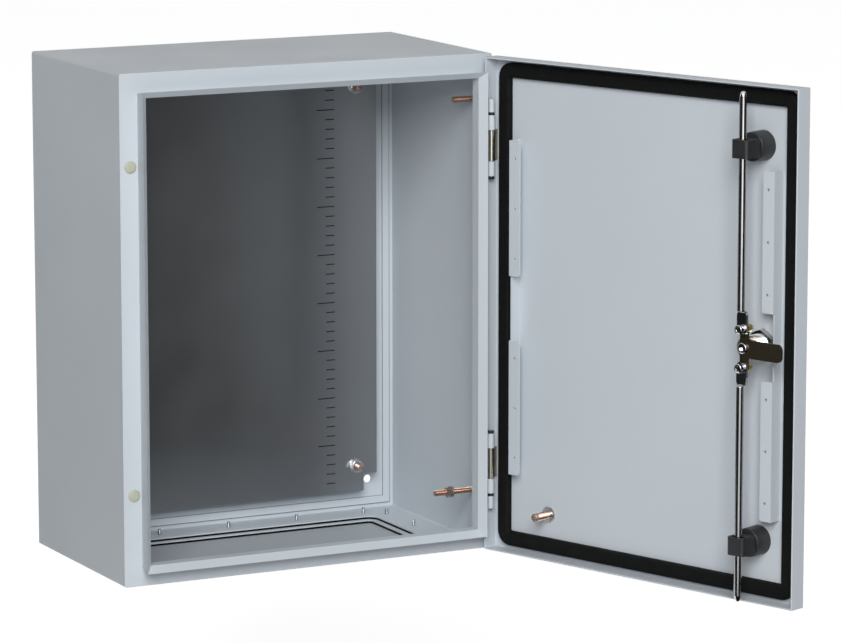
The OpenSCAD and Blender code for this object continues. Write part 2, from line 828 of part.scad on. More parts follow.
// The turning core: a keyed recess outside, and a square tenon that carries the cam.
module lock_core() {
    core_from = -seal_t - bezel_t;
    recess = 9;
    lug = 2;
    color(ZINC) at_lock(core_from) difference() {
        union() {
            difference() {
                cylinder(r = core_r, h = cam_off - core_from);
                translate([0, 0, -e]) cylinder(r = core_r - 1.5, h = recess);
            }
            cylinder(r = 1.6, h = recess + 1);
            translate([-core_r + 2, -lug / 2, 1]) cube([2 * core_r - 4, lug, recess]);
            translate([-cam_square / 2, -cam_square / 2, cam_off - core_from - e])
                cube([cam_square, cam_square, cam_t + e]);
        }
        translate([0, 0, cam_front - core_from - cam_screw_len - cam_screw_r])
            cylinder(r = cam_screw_r, h = cam_screw_len + cam_screw_r + e);
    }
}

// The cam's hub seen from inside the shut door: a bar between the rod pins, fuller on the
// tongue's side, where it ends at the bend.
module cam_hub_2d() {
    lobe = rod_pin_head - 0.3;
    full = tongue_w / 2 + 0.5;
    for (s = [-1, 1]) translate([0, s * pin_throw]) circle(lobe);
    square([2 * lobe, 2 * pin_throw], center = true);
    translate([lobe - full, 0]) circle(full);
    translate([-tongue_from, -tongue_w / 2]) square([tongue_from, tongue_w]);
}

// A flat cam with its tongue set off by a double bend.
module lock_cam() {
    tongue_r = tongue_w / 3;
    reach = tongue_reach - tongue_from + cam_t;
    color([0.35, 0.34, 0.32]) at_lock(cam_off) difference() {
        union() {
            linear_extrude(cam_t) cam_hub_2d();
            translate([-tongue_from, -tongue_w / 2, 0]) cube([cam_t, tongue_w, tongue_step + cam_t]);
            translate([cam_t - tongue_from - reach / 2, 0, tongue_step]) linear_extrude(cam_t) {
                round_rect(reach, tongue_w, tongue_r);
                translate([reach / 4, 0]) square([reach / 2, tongue_w], center = true);
            }
        }
        translate([-cam_square / 2, -cam_square / 2, -e]) cube([cam_square, cam_square, cam_t + 2 * e]);
        for (s = [-1, 1]) translate([0, s * pin_throw, -e]) cylinder(r = rod_pin_r, h = cam_t + 2 * e);
    }
}

module cam_screw() {
    head_h = 3.2;
    color(ZINC) at_lock(cam_front) {
        cylinder(r = 2.2 * cam_screw_r, h = head_h);
        translate([0, 0, -cam_screw_len]) cylinder(r = cam_screw_r, h = cam_screw_len + e);
    }
}

// Headed pins that carry the rods.
module rod_pins() {
    color(ZINC) for (s = [-1, 1]) at_lock(0) translate([0, s * pin_throw, 0]) {
        translate([0, 0, cam_off]) cylinder(r = rod_pin_r, h = head_off - cam_off + e);
        translate([0, 0, head_off]) cylinder(r = rod_pin_head, h = rod_pin_head_h);
    }
}

// Cap nuts on the pins' threaded ends, behind the cam.
module pin_cap_nuts() {
    dome = rod_pin_head - 0.5;
    color([0.80, 0.65, 0.30]) for (s = [-1, 1]) at_lock(cam_off)
        translate([0, s * pin_throw, -cap_nut_h]) intersection() {
            cylinder(r = dome, h = cap_nut_h);
            union() {
                translate([0, 0, dome]) sphere(r = dome);
                translate([0, 0, dome]) cylinder(r = dome, h = cap_nut_h);
            }
        }
}

// A rod with its flat on the rod pin, drawn for the upper side.
module lock_rod() {
    eye_r = rod_flat_w / 2;
    round_from = pin_throw + rod_flat - 2;
    color(ZINC) difference() {
        union() {
            translate([0, face_y + flat_off + rod_flat_t, 0]) rotate([90, 0, 0]) linear_extrude(rod_flat_t) {
                translate([0, pin_throw]) circle(eye_r);
                translate([-eye_r, pin_throw]) square([rod_flat_w, rod_flat]);
            }
            translate([0, face_y + rod_off, round_from]) cylinder(r = rod_r, h = door_h / 2 - rod_end_gap - rod_tip - round_from);
            translate([0, face_y + rod_off, door_h / 2 - rod_end_gap - rod_tip])
                cylinder(r1 = rod_r, r2 = 0.4 * rod_r, h = rod_tip);
        }
        rod_y(0, pin_throw, face_y + head_off, rod_flat_t + 2 * clear, rod_pin_r + run);
    }
}

module rod_upper() {
    on_door() translate([lock_x, 0, 0]) lock_rod();
}

module rod_lower() {
    on_door() translate([lock_x, 0, 0]) mirror([0, 0, 1]) lock_rod();
}

body_shell();
back_panel();
gland_seal();
gland_frame();
cover_seal();
gland_cover();
gland_screws();
mounting_plate();
plate_studs();
plate_washers();
plate_nuts();
wall_stud_upper();
wall_stud_lower();
wall_stud_washer();
wall_stud_nut();
flange_plugs();
hinge_bracket_upper();
hinge_bracket_lower();
hinge_screws();
hinge_pin_upper();
hinge_pin_lower();
hinge_rings();
hinge_cap_upper();
hinge_cap_lower();
door_panel();
door_foam();
door_leaf_upper();
door_leaf_lower();
lock_strip();
hinge_strip();
door_stud();
door_stud_washer();
guide_upper();
guide_lower();
guide_studs();
lock_barrel();
bezel_seal();
lock_nut();
lock_core();
lock_cam();
cam_screw();
rod_pins();
pin_cap_nuts();
rod_upper();
rod_lower();
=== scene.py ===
import math

import bmesh
import bpy
from mathutils import Matrix, Vector


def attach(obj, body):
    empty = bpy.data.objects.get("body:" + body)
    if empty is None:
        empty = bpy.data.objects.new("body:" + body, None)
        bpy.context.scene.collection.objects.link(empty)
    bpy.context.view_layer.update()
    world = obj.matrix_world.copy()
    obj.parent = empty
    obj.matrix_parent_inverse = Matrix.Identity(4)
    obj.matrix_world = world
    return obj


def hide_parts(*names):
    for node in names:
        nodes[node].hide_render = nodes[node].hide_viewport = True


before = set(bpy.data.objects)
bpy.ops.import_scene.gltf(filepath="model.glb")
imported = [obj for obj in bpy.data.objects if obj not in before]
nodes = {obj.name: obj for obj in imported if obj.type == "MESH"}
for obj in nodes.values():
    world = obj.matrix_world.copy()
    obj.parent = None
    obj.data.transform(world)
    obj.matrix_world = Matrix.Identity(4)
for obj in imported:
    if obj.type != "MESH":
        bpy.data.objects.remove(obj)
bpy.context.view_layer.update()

# ---------------------------------------------------------------------------
# The studio: a long-lens camera that looks from the left and a little above, a
# pale floor well below the hung box, one soft lamp, and a strip lamp between dark
# flags, which show only as reflections. The background is white to the viewer.
# ---------------------------------------------------------------------------

camera_data = bpy.data.cameras.new("camera")
camera_data.sensor_width = 36
camera_data.lens = 192.3
camera_data.clip_end = 60
camera = bpy.data.objects.new("camera", camera_data)
bpy.context.scene.collection.objects.link(camera)
camera.location = (-1.8606, -4.1315, 0.744)
camera.rotation_mode = "XYZ"
camera.rotation_euler = (math.radians(90 - 9.80), math.radians(0.03), math.radians(-26.87))
bpy.context.scene.camera = camera
bpy.context.scene.view_settings.view_transform = "Standard"


def seen_or_mirrored(tree):
    """One where a ray comes from the viewer, from a mirror or through glass, else nought."""
    path = tree.nodes.new("ShaderNodeLightPath")
    mirrored = tree.nodes.new("ShaderNodeMath")
    mirrored.operation = "MAXIMUM"
    either = tree.nodes.new("ShaderNodeMath")
    either.operation = "MAXIMUM"
    tree.links.new(path.outputs["Is Glossy Ray"], mirrored.inputs[0])
    tree.links.new(path.outputs["Is Transmission Ray"], mirrored.inputs[1])
    tree.links.new(path.outputs["Is Camera Ray"], either.inputs[0])
    tree.links.new(mirrored.outputs[0], either.inputs[1])
    return either


world = bpy.data.worlds.new("studio")
world.use_nodes = True
bpy.context.scene.world = world
sky = world.node_tree
sky_lit = sky.nodes["Background"]
sky_lit.inputs["Color"].default_value = (0.95, 0.98, 1.0, 1)
sky_lit.inputs["Strength"].default_value = 0.08
sky_shown = sky.nodes.new("ShaderNodeBackground")
sky_shown.inputs["Color"].default_value = (1, 1, 1, 1)
sky_shown.inputs["Strength"].default_value = 1.0
sky_mix = sky.nodes.new("ShaderNodeMixShader")
sky.links.new(seen_or_mirrored(sky).outputs[0], sky_mix.inputs[0])
sky.links.new(sky_lit.outputs[0], sky_mix.inputs[1])
sky.links.new(sky_shown.outputs[0], sky_mix.inputs[2])
sky.links.new(sky_mix.outputs[0], sky.nodes["World Output"].inputs["Surface"])


def soft_lamp(name, spot, target, width, height, power):
    """A soft lamp that faces its target. The camera doesn't see it, and shiny pieces mirror it."""
    data = bpy.data.lights.new(name, "AREA")
    data.shape = "RECTANGLE"
    data.size = width
    data.size_y = height
    data.energy = power
    lamp = bpy.data.objects.new(name, data)
    bpy.context.scene.collection.objects.link(lamp)
    lamp.location = spot
    lamp.rotation_mode = "QUATERNION"
    lamp.rotation_quaternion = (Vector(target) - Vector(spot)).to_track_quat("-Z", "Y")
    lamp.visible_camera = False
    return lamp


soft_lamp("key", (-1.85, -4.2, 2.27), (0.1, -0.2, 0.0), 2.4, 2.4, 216)
strip = soft_lamp("strip", (-0.395, -1.9, -0.2), (0.285, -0.56, -0.2), 1.3, 0.8, 3.0)
strip.visible_diffuse = False


def studio_sheet(name, corners, colour):
    """A flat sheet of the studio, which isn't part of the object."""
    mesh = bpy.data.meshes.new(name)
    bm = bmesh.new()
    bm.faces.new([bm.verts.new(corner) for corner in corners])
    bm.to_mesh(mesh)
    bm.free()
    sheet = bpy.data.objects.new(name, mesh)
    bpy.context.scene.collection.objects.link(sheet)
    paint = bpy.data.materials.new(name)
    paint.use_nodes = True
    shader = paint.node_tree.nodes["Principled BSDF"]
    shader.inputs["Base Color"].default_value = (*colour, 1)
    shader.inputs["Roughness"].default_value = 0.9
    shader.inputs["Specular IOR Level"].default_value = 0
    mesh.materials.append(paint)
    return sheet


floor_z = -0.62
floor = studio_sheet(
    "floor", [(-9, -9, floor_z), (9, -9, floor_z), (9, 9, floor_z), (-9, 9, floor_z)], (0.85, 0.85, 0.85)
)
floor_tree = floor.data.materials[0].node_tree
floor_white = floor_tree.nodes.new("ShaderNodeEmission")
floor_white.inputs["Color"].default_value = (0.9, 0.9, 0.9, 1)
floor_sum = floor_tree.nodes.new("ShaderNodeAddShader")
floor_tree.links.new(seen_or_mirrored(floor_tree).outputs[0], floor_white.inputs["Strength"])
floor_tree.links.new(floor_tree.nodes["Principled BSDF"].outputs[0], floor_sum.inputs[0])
floor_tree.links.new(floor_white.outputs[0], floor_sum.inputs[1])
floor_tree.links.new(floor_sum.outputs[0], floor_tree.nodes["Material Output"].inputs["Surface"])

flag_black = (0.012, 0.012, 0.013)
flag_grey = (0.06, 0.062, 0.065)
flag_foot, flag_top = -0.6, 2.6


def standing(x0, y0, x1, y1):
    """The corners of a sheet that stands on the line between two points."""
    return [(x0, y0, flag_foot), (x1, y1, flag_foot), (x1, y1, flag_top), (x0, y0, flag_top)]


def lying(x0, y0, x1, y1):
    """The corners of a sheet that lies just above the floor."""
    return [(x0, y0, flag_foot), (x1, y0, flag_foot), (x1, y1, flag_foot), (x0, y1, flag_foot)]


flags = [
    studio_sheet("flag_right", standing(-0.1, -4.4, 4.6, -1.0), flag_black),
    studio_sheet("flag_low", lying(-4.6, -4.6, 4.6, -0.5), flag_black),
    studio_sheet("flag_side", lying(-4.6, -0.5, -0.9, 3.0), flag_grey),
    studio_sheet("flag_left", standing(-4.6, 3.0, -2.6, -4.6), flag_grey),
]
for flag in flags:
    flag.visible_camera = False
    flag.visible_shadow = False
    flag.visible_diffuse = False

# ---------------------------------------------------------------------------
# Body shell and back panel: bent and welded sheet steel with a light grey powder
# coat, baked on after welding. The coat pools a little and has a fine orange peel.
# ---------------------------------------------------------------------------


def new_finish(name, colour, metallic, roughness):
    """A material, with the values that are the same all over it set on its shader."""
    finish = bpy.data.materials.new(name)
    finish.use_nodes = True
    shader = finish.node_tree.nodes["Principled BSDF"]
    shader.inputs["Base Color"].default_value = (*colour, 1)
    shader.inputs["Metallic"].default_value = metallic
    shader.inputs["Roughness"].default_value = roughness
    return finish


def grain(finish, scale, detail=2.0, stretch=(1, 1, 1)):
    """A noise over the piece in its own metres, stretched along some axes."""
    tree = finish.node_tree
    place = tree.nodes.new("ShaderNodeTexCoord")
    mapping = tree.nodes.new("ShaderNodeMapping")
    mapping.inputs["Scale"].default_value = stretch
    tree.links.new(place.outputs["Object"], mapping.inputs["Vector"])
    noise = tree.nodes.new("ShaderNodeTexNoise")
    noise.inputs["Scale"].default_value = scale
    noise.inputs["Detail"].default_value = detail
    tree.links.new(mapping.outputs["Vector"], noise.inputs["Vector"])
    return noise


def vary_gloss(finish, noise, low, high):
    """Lets the roughness wander between low and high."""
    tree = finish.node_tree
    fit = tree.nodes.new("ShaderNodeMapRange")
    fit.inputs["From Min"].default_value = 0.3
    fit.inputs["From Max"].default_value = 0.7
    fit.inputs["To Min"].default_value = low
    fit.inputs["To Max"].default_value = high
    tree.links.new(noise.outputs["Fac"], fit.inputs["Value"])
    tree.links.new(fit.outputs["Result"], tree.nodes["Principled BSDF"].inputs["Roughness"])


def vary_colour(finish, noise, dark, light):
    """Lets the colour wander between two colours."""
    tree = finish.node_tree
    ramp = tree.nodes.new("ShaderNodeValToRGB")
    ramp.color_ramp.elements[0].position = 0.3
    ramp.color_ramp.elements[0].color = (*dark, 1)
    ramp.color_ramp.elements[1].position = 0.7
    ramp.color_ramp.elements[1].color = (*light, 1)
    tree.links.new(noise.outputs["Fac"], ramp.inputs["Fac"])
    tree.links.new(ramp.outputs["Color"], tree.nodes["Principled BSDF"].inputs["Base Color"])


def roughen(finish, noises, height, strength=1.0):
    """Raises the surface by one noise after the other, each by a height in metres."""
    tree = finish.node_tree
    last = None
    for noise in noises:
        bump = tree.nodes.new("ShaderNodeBump")
        bump.inputs["Distance"].default_value = height
        bump.inputs["Strength"].default_value = strength
        tree.links.new(noise.outputs["Fac"], bump.inputs["Height"])
        if last:
            tree.links.new(last.outputs["Normal"], bump.inputs["Normal"])
        last = bump
    tree.links.new(last.outputs["Normal"], tree.nodes["Principled BSDF"].inputs["Normal"])


def set_sheen(finish, level):
    """Sets how strongly the surface mirrors, where 0.5 is usual."""
    finish.node_tree.nodes["Principled BSDF"].inputs["Specular IOR Level"].default_value = level


def baked_coat(name, colour):
    """A powder coat with its orange peel."""
    coat = new_finish(name, colour, 0.0, 0.45)
    set_sheen(coat, 0.3)
    vary_gloss(coat, grain(coat, 14.0, 3.0), 0.41, 0.5)
    roughen(coat, [grain(coat, 420.0, 2.0), grain(coat, 1300.0, 1.0)], 0.00003, 0.6)
    return coat


powder_coat = baked_coat("powder_coat", (0.575, 0.622, 0.665))
vary_colour(powder_coat, grain(powder_coat, 5.0, 3.0), (0.565, 0.612, 0.655), (0.585, 0.632, 0.675))


def dress(name, finish, edge=0.0, segments=2, sharp_above=24):
    """Gives a CAD node its material, and a small round (in mm) along its sharp edges."""
    node = nodes[name]
    node.data.materials.clear()
    node.data.materials.append(finish)
    weld = node.modifiers.new("weld", "WELD")
    weld.merge_threshold = 0.000004
    flats = node.modifiers.new("flats", "DECIMATE")
    flats.decimate_type = "DISSOLVE"
    flats.angle_limit = math.radians(0.5)
    if edge:
        bevel = node.modifiers.new("round", "BEVEL")
        bevel.width = edge / 1000
        bevel.segments = segments
        bevel.limit_method = "ANGLE"
        bevel.angle_limit = math.radians(sharp_above)
    for face in node.data.polygons:
        face.use_smooth = True
    even = node.modifiers.new("even", "WEIGHTED_NORMAL")
    even.mode = "FACE_AREA_WITH_ANGLE"
    even.weight = 80
    return node


dress("body_shell", powder_coat, 0.6)
dress("back_panel", powder_coat, 0.4)

# ---------------------------------------------------------------------------
# Cable opening: a rubber seal under the floor, a painted steel frame, a second
# seal and a plain cover, coated darker as painted shade, all clamped by the same sixteen screws.
# ---------------------------------------------------------------------------

seal_rubber = new_finish("seal_rubber", (0.002, 0.002, 0.002), 0.0, 0.7)
set_sheen(seal_rubber, 0.15)
vary_gloss(seal_rubber, grain(seal_rubber, 60.0), 0.62, 0.78)
roughen(seal_rubber, [grain(seal_rubber, 900.0)], 0.00004, 0.6)

dress("gland_seal", seal_rubber, 0.3)
dress("cover_seal", seal_rubber, 0.3)
dress("gland_frame", powder_coat, 0.4)
# Painted shade: the cover gets a darker copy of the body's coat, standing for the shade on the box's floor.
cover_shaded_coat = baked_coat("cover_shaded_coat", (0.42, 0.454, 0.486))
dress("gland_cover", cover_shaded_coat, 0.4)

# ---------------------------------------------------------------------------
# Cover screws: pan-head steel screws with a hexagonal socket, zinc plated, driven
# from below so that their threaded tips stand up inside the floor.
# ---------------------------------------------------------------------------

bright_zinc = new_finish("bright_zinc", (0.66, 0.67, 0.68), 1.0, 0.28)
vary_colour(bright_zinc, grain(bright_zinc, 90.0, 3.0), (0.60, 0.61, 0.63), (0.72, 0.72, 0.72))
vary_gloss(bright_zinc, grain(bright_zinc, 160.0, 3.0), 0.2, 0.36)


def turned(outline, steps=32, closed=False):
    """Spins an outline of (radius, height) points, in mm, round Z."""
    bm = bmesh.new()
    verts = [bm.verts.new((radius, 0, height)) for radius, height in outline]
    edges = [bm.edges.new(pair) for pair in zip(verts, verts[1:] + verts[:1] * closed)]
    bmesh.ops.spin(
        bm, geom=verts + edges, cent=(0, 0, 0), axis=(0, 0, 1), dvec=(0, 0, 0),
        angle=2 * math.pi, steps=steps, use_merge=True, use_duplicate=False,
    )
    bmesh.ops.remove_doubles(bm, verts=bm.verts, dist=0.001)
    bmesh.ops.recalc_face_normals(bm, faces=bm.faces)
    return bm


def eased(outline, ease=0.3, closed=False):
    """Rounds each corner of an outline with a curve of three points."""
    points = [Vector(point) for point in outline]
    out = []
    for i, corner in enumerate(points):
        if not closed and i in (0, len(points) - 1):
            out.append(corner)
            continue
        before = points[i - 1] - corner
        after = points[(i + 1) % len(points)] - corner
        first = corner + before.normalized() * min(ease, before.length * 0.45)
        last = corner + after.normalized() * min(ease, after.length * 0.45)
        out += [first, (first + last + 2 * corner) / 4, last]
    return out


def thread(radius, start, end, pitch):
    """The crests and roots of a thread, as grooves from start to end."""
    turns = int((end - start) / pitch)
    step = (end - start) / turns
    points = []
    for i in range(turns):
        points += [(radius, start + (i + 0.15) * step), (radius - 0.55 * pitch, start + (i + 0.6) * step)]
    return points + [(radius, end)]


def six_sided(bm, radius):
    """Pulls the rings of one radius out to a hexagon."""
    for vert in bm.verts:
        if abs(vert.co.xy.length - radius) < 0.01:
            turn = math.atan2(vert.co.y, vert.co.x) % math.radians(60) - math.radians(30)
            vert.co.xy /= math.cos(turn)


def spot(x, y, z, turn=Matrix()):
    """Puts a piece made in mm at a point given in mm, turned about its own origin first."""
    return Matrix.Scale(0.001, 4) @ Matrix.Translation((x, y, z)) @ turn


def fit(name, body, slot, finish, bm, spots, instead_of, crease=45):
    """Copies a mesh to its spots as one piece, which may stand for a CAD node."""
    one = bpy.data.meshes.new(name)
    bm.to_mesh(one)
    bm.free()
    bm = bmesh.new()
    for matrix in spots:
        copy = one.copy()
        copy.transform(matrix)
        bm.from_mesh(copy)
        bpy.data.meshes.remove(copy)
    bmesh.ops.recalc_face_normals(bm, faces=bm.faces)
    bm.to_mesh(one)
    bm.free()
    for face in one.polygons:
        face.use_smooth = True
    one.set_sharp_from_angle(angle=math.radians(crease))
    one.materials.append(finish)
    piece = bpy.data.objects.new(name, one)
    bpy.context.scene.collection.objects.link(piece)
    even = piece.modifiers.new("even", "WEIGHTED_NORMAL")
    even.keep_sharp = True
    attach(piece, body)
    if instead_of:
        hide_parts(instead_of)
    return piece


opening_y, cover_z = -99, -256.2
pitch_x, pitch_y = 77, 62
row_x, row_y = 174, 76.5
screw_spots = [(i * pitch_x, side * row_y) for i in range(-2, 3) for side in (-1, 1)]
screw_spots += [(side * row_x, i * pitch_y) for i in (-1, 0, 1) for side in (-1, 1)]
cover_socket = 1.45
cover_screw = turned(
    [(0, -1.3), (cover_socket, -1.3), (cover_socket, -2.4), (3.0, -2.4), (3.7, -1.9), (4, -1.1), (4, 0),
     (2, 0), (2, 4)]
    + thread(1.8, 5, 13, 0.7) + [(1.3, 13.6), (0, 13.6)],
    steps=24,
)
six_sided(cover_screw, cover_socket)
fit(
    "cover_screws", "enclosure", "zinc_steel", bright_zinc, cover_screw,
    [spot(x, opening_y + y, cover_z) for x, y in screw_spots], "gland_screws",
)

# ---------------------------------------------------------------------------
# Joints between the sheets: the two rubber seals bulge a little where the screws
# squeeze them, and thin dark lines of painted shade mark the shadow at the back panel's stepped edge.
# ---------------------------------------------------------------------------


def rounded_sheet(width, height, radius, segments=8):
    """A flat face with round corners, in the XY plane."""
    bm = bmesh.new()
    bmesh.ops.create_grid(
        bm, x_segments=1, y_segments=1, size=1, matrix=Matrix.Diagonal((width / 2, height / 2, 1, 1))
    )
    bmesh.ops.bevel(
        bm, geom=bm.verts[:], offset=radius, offset_type="OFFSET", affect="VERTICES", segments=segments,
        profile=0.5, material=-1, clamp_overlap=True,
    )
    return bm


def raise_faces(bm, faces, height):
    """Pulls faces up by a height, and leaves a closed solid."""
    out = bmesh.ops.extrude_face_region(bm, geom=faces, use_keep_orig=True)
    top = [part for part in out["geom"] if isinstance(part, bmesh.types.BMVert)]
    bmesh.ops.translate(bm, verts=top, vec=(0, 0, height))
    bmesh.ops.recalc_face_normals(bm, faces=bm.faces)


def add_mesh(bm, more):
    """Adds one mesh to another, and frees the one that was added."""
    mesh = bpy.data.meshes.new("added")
    more.to_mesh(mesh)
    more.free()
    bm.from_mesh(mesh)
    bpy.data.meshes.remove(mesh)


def with_hole(sheet, hole):
    """Cuts a hole into a flat sheet, from a flat face or a ring of the hole's shape."""
    add_mesh(sheet, hole)
    bmesh.ops.delete(sheet, geom=sheet.faces[:], context="FACES_ONLY")
    bmesh.ops.triangle_fill(sheet, use_beauty=True, use_dissolve=False, edges=sheet.edges[:])
    return sheet


def thin_ring(width, height, radius, inset, low, high):
    """A raised ring whose inner outline is inset from its outer one."""
    inner = (width - 2 * inset, height - 2 * inset, max(radius - inset, 0.2))
    ring = with_hole(rounded_sheet(width, height, radius), rounded_sheet(*inner))
    raise_faces(ring, ring.faces[:], high - low)
    bmesh.ops.translate(ring, verts=ring.verts, vec=(0, 0, low))
    return ring


bulge = thin_ring(317, 122, 11, 0.4, -252.0, -249.7)
add_mesh(bulge, thin_ring(305, 110, 5, 0.4, -254.7, -252.7))
fit("seal_bulge", "enclosure", "black_rubber", seal_rubber, bulge, [spot(0, opening_y, 0)], None)

# Painted shade: thin dark sheets along the back panel's stepped edge stand for the shadow of the step.
step_shade_dark = new_finish("step_shade_dark", (0.07, 0.08, 0.09), 0.0, 0.6)
vary_gloss(step_shade_dark, grain(step_shade_dark, 200.0), 0.5, 0.7)
to_front = Matrix.Rotation(math.radians(90), 4, "X")
step_shade = thin_ring(373.6, 473.6, 0.3, 0.45, 1.45, 1.56)
add_mesh(step_shade, thin_ring(388.5, 488.5, 0.3, 0.4, 2.9, 3.05))
fit("back_panel_step_shade", "enclosure", "grey_powder_coat", step_shade_dark, step_shade, [spot(0, 0, 0, to_front)], None)

# ---------------------------------------------------------------------------
# Mounting plate: galvanised sheet with its corners cut away for the studs, and a
# scale of short and long marks down its right-hand side for setting out.
# ---------------------------------------------------------------------------

galvanised = new_finish("galvanised", (0.35, 0.355, 0.36), 1.0, 0.3)
vary_colour(galvanised, grain(galvanised, 12.0, 4.0), (0.37, 0.375, 0.38), (0.39, 0.395, 0.40))
vary_gloss(galvanised, grain(galvanised, 30.0, 4.0), 0.29, 0.315)
roughen(galvanised, [grain(galvanised, 260.0, 2.0, (1, 1, 0.1))], 0.00001, 0.3)

dress("mounting_plate", galvanised, 0.35)

mark_ink = new_finish("mark_ink", (0.005, 0.005, 0.006), 0.0, 0.5)
vary_gloss(mark_ink, grain(mark_ink, 700.0), 0.4, 0.6)

mark_right, plate_front = 123, -20
short_mark, long_mark, mark_height = 9.8, 19.4, 1.1
marks = bmesh.new()
for i in range(-22, 21):
    length = long_mark if (i - 2) % 5 == 0 else short_mark
    middle = Matrix.Translation((mark_right - length / 2, plate_front - 0.02, 10 * i + 5.7))
    bar = Matrix.Diagonal((length, 0.1, mark_height, 1))
    bmesh.ops.create_cube(marks, size=1, matrix=middle @ bar)
fit("scale_marks", "enclosure", "galvanised_plate", mark_ink, marks, [spot(0, 0, 0)], None)

# ---------------------------------------------------------------------------
# Plate studs: copper-plated weld studs with a shoulder that spaces the plate off
# the back panel, each with a plain washer and a hexagonal nut in bright zinc.
# ---------------------------------------------------------------------------

copper_plate = new_finish("copper_plate", (0.58, 0.40, 0.32), 1.0, 0.3)
vary_colour(copper_plate, grain(copper_plate, 120.0, 3.0), (0.52, 0.35, 0.27), (0.64, 0.45, 0.37))
vary_gloss(copper_plate, grain(copper_plate, 200.0, 3.0), 0.22, 0.4)

stud_spots = [(x, z) for x in (-146, 146) for z in (-198, 198)]


def washer(bore, radius, thick):
    """A punched washer, rounded on its edges."""
    return turned(eased([(bore, 0), (radius, 0), (radius, thick), (bore, thick)], 0.3, True), 40, True)


def hex_nut(across, height, bore):
    """A hexagonal nut with its corners turned down at both ends."""
    flat = across / 2
    bm = turned(
        [(bore, 0.5), (bore + 0.5, 0), (flat * 0.97, 0), (flat, 0.15), (flat, height - 0.15),
         (flat * 0.97, height), (bore + 0.5, height), (bore, height - 0.5)], 48, True,
    )
    for vert in bm.verts:
        radius = vert.co.xy.length
        if radius > flat - 0.01:
            turn = math.atan2(vert.co.y, vert.co.x) % math.radians(60) - math.radians(30)
            corner = flat / math.cos(turn)
            vert.co.xy *= corner / radius
            vert.co.z += (corner - flat) * (0.6 if vert.co.z < height / 2 else -0.6)
    return bm


panel_face, washer_thick = -1.5, 1.6
plate_stud = turned(
    [(0, 0), (7, 0), (7, 16), (6.6, 16.5), (4, 16.5), (4, 18)]
    + thread(3.9, 18, 29.6, 1.25) + [(3.4, 30.4), (2.4, 30.9), (0, 31.1)]
)
fit(
    "plate_stud_set", "enclosure", "copper_plate", copper_plate, plate_stud,
    [spot(x, panel_face, z, to_front) for x, z in stud_spots], "plate_studs",
)
fit(
    "plate_washer_set", "enclosure", "zinc_steel", bright_zinc, washer(4, 7.2, washer_thick),
    [spot(x, plate_front, z, to_front) for x, z in stud_spots], "plate_washers",
)
nut_spots = [
    spot(x, plate_front - washer_thick, z, to_front @ Matrix.Rotation(0.2 * z, 4, "Z")) for x, z in stud_spots
]
fit("plate_nut_set", "enclosure", "zinc_steel", bright_zinc, hex_nut(12, 5.5, 4), nut_spots, "plate_nuts")

# ---------------------------------------------------------------------------
# Wall studs: two copper-plated earthing studs, each with a thin flange that is
# welded to the right-hand wall. The lower, longer one carries a washer and a nut.
# ---------------------------------------------------------------------------

off_wall = Matrix.Rotation(math.radians(-90), 4, "Y")


def weld_stud(length):
    """A threaded stud with its thin welding flange."""
    return turned(
        [(0, 0), (3.75, 0), (3.75, 0.6), (3.4, 0.9), (2.9, 0.9)]
        + thread(3, 1.4, length - 0.6, 1.0) + [(2.4, length), (0, length)], 28,
    )


wall_face, earth_y = 198.5, -190
upper_earth_z, lower_earth_z = 201.5, -196
washer_off = 27
fit("upper_earth_stud", "enclosure", "copper_plate", copper_plate, weld_stud(27),
    [spot(wall_face, earth_y, upper_earth_z, off_wall)], "wall_stud_upper")
fit("lower_earth_stud", "enclosure", "copper_plate", copper_plate, weld_stud(47),
    [spot(wall_face, earth_y, lower_earth_z, off_wall)], "wall_stud_lower")
fit("earth_washer", "enclosure", "zinc_steel", bright_zinc, washer(3, 6, washer_thick),
    [spot(wall_face - washer_off, earth_y, lower_earth_z, off_wall)], "wall_stud_washer")
fit("earth_nut", "enclosure", "copper_plate", copper_plate, hex_nut(10, 5, 3),
    [spot(wall_face - washer_off - washer_thick, earth_y, lower_earth_z, off_wall)], "wall_stud_nut")

# ---------------------------------------------------------------------------
# Flange plugs: moulded caps, in a warm off-white, pressed into the spare hinge
# holes on the lock side, so that the door can be hung either way.
# ---------------------------------------------------------------------------

plug_nylon = new_finish("plug_nylon", (0.46, 0.46, 0.36), 0.0, 0.45)
vary_colour(plug_nylon, grain(plug_nylon, 150.0), (0.44, 0.44, 0.34), (0.48, 0.48, 0.38))
roughen(plug_nylon, [grain(plug_nylon, 1500.0)], 0.00002, 0.4)
flange_face, flange_x, hinge_z = -220, 189.2, 160
plug = turned(
    [(0, -5), (3.9, -5), (4.5, -4.2), (4.5, 0), (5.8, 0), (6, 0.25), (5.9, 0.8), (5.2, 1.4), (4.1, 1.7),
     (2.2, 1.8), (0, 1.8)], 40,
)
fit(
    "plug_pair", "enclosure", "beige_plastic", plug_nylon, plug,
    [spot(-flange_x, flange_face, z, to_front) for z in (-hinge_z, hinge_z)], "flange_plugs",
)

# ---------------------------------------------------------------------------
# Hinges: painted steel brackets screwed on from inside the body, a bright pin
# with a dark retaining ring at each end and a painted cap, and a plated leaf
# whose rolled knuckle turns on the pin between the bracket's two knuckles.
# ---------------------------------------------------------------------------

polished_steel = new_finish("polished_steel", (0.5, 0.5, 0.5), 1.0, 0.12)
vary_gloss(polished_steel, grain(polished_steel, 300.0, 3.0, (1, 1, 0.1)), 0.08, 0.18)
leaf_plating = new_finish("leaf_plating", (0.62, 0.58, 0.50), 1.0, 0.22)
vary_colour(leaf_plating, grain(leaf_plating, 40.0, 2.0), (0.60, 0.56, 0.48), (0.64, 0.60, 0.52))
vary_gloss(leaf_plating, grain(leaf_plating, 40.0, 2.0), 0.2, 0.26)
ring_black = new_finish("ring_black", (0.02, 0.02, 0.021), 0.0, 0.3)
vary_gloss(ring_black, grain(ring_black, 300.0), 0.22, 0.38)

